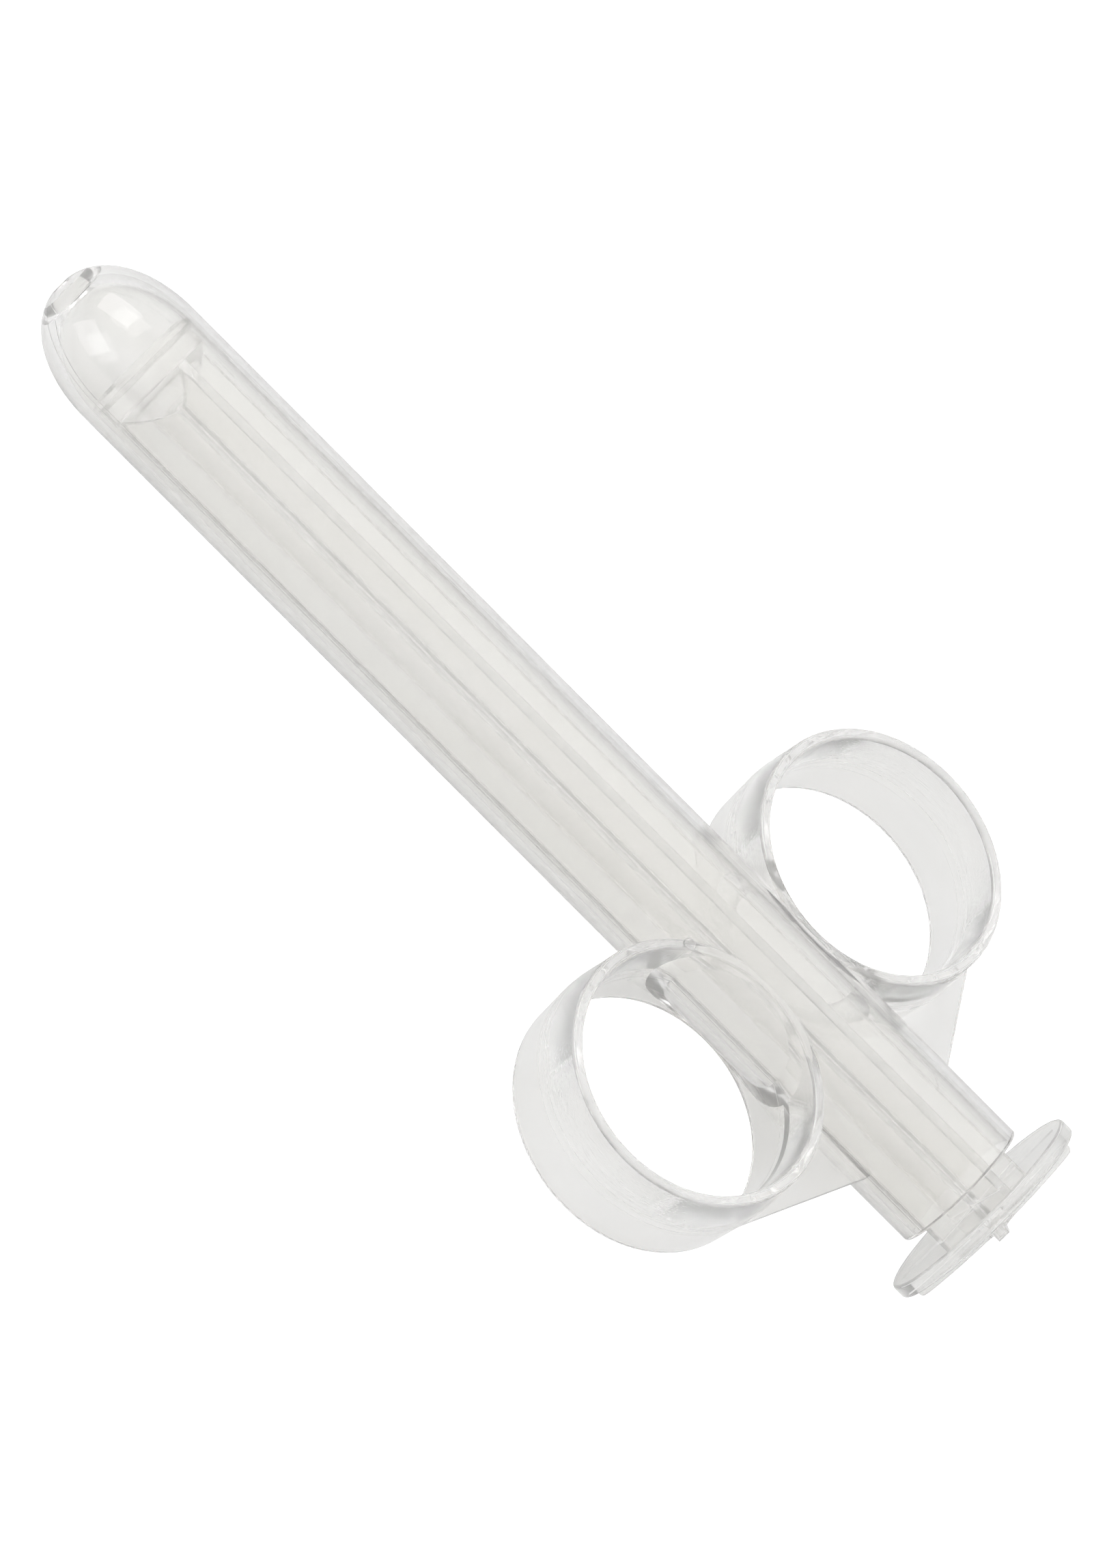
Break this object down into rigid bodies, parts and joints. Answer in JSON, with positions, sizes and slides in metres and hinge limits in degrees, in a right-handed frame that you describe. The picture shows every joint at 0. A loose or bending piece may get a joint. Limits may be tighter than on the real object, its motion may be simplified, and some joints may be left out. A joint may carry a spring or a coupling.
{
  "type": "finger ring plunger injector",
  "caption": "Clear moulded tube with a domed nose outlet and two finger rings, and a cruciform plunger with a round thumb disc.",
  "frame": {"origin": "centre of the outlet in the nose", "axes": "+X back along the barrel towards the thumb, +Z along the finger rings' axes, +Y towards the right-hand ring"},
  "size_m": [0.1426, 0.0704, 0.0254],
  "materials": {
    "clear_barrel": "clear water-white moulding with a faint grey tint",
    "clear_plunger": "clear moulding, slightly hazier than the barrel"
  },
  "bodies": {
    "barrel": {"barrel_tube": "clear_barrel", "nose_dome": "clear_barrel", "finger_ring_left": "clear_barrel", "finger_ring_right": "clear_barrel", "ring_web_left": "clear_barrel", "ring_web_right": "clear_barrel"},
    "plunger": {"piston_head": "clear_plunger", "plunger_rod": "clear_plunger", "thumb_disc": "clear_plunger", "thumb_grip": "clear_plunger"}
  },
  "joints": [
    {"name": "plunger_slide", "type": "slide", "parent": "barrel", "child": "plunger", "axis": [1, 0, 0], "range_m": [0, 0.115]}
  ]
}
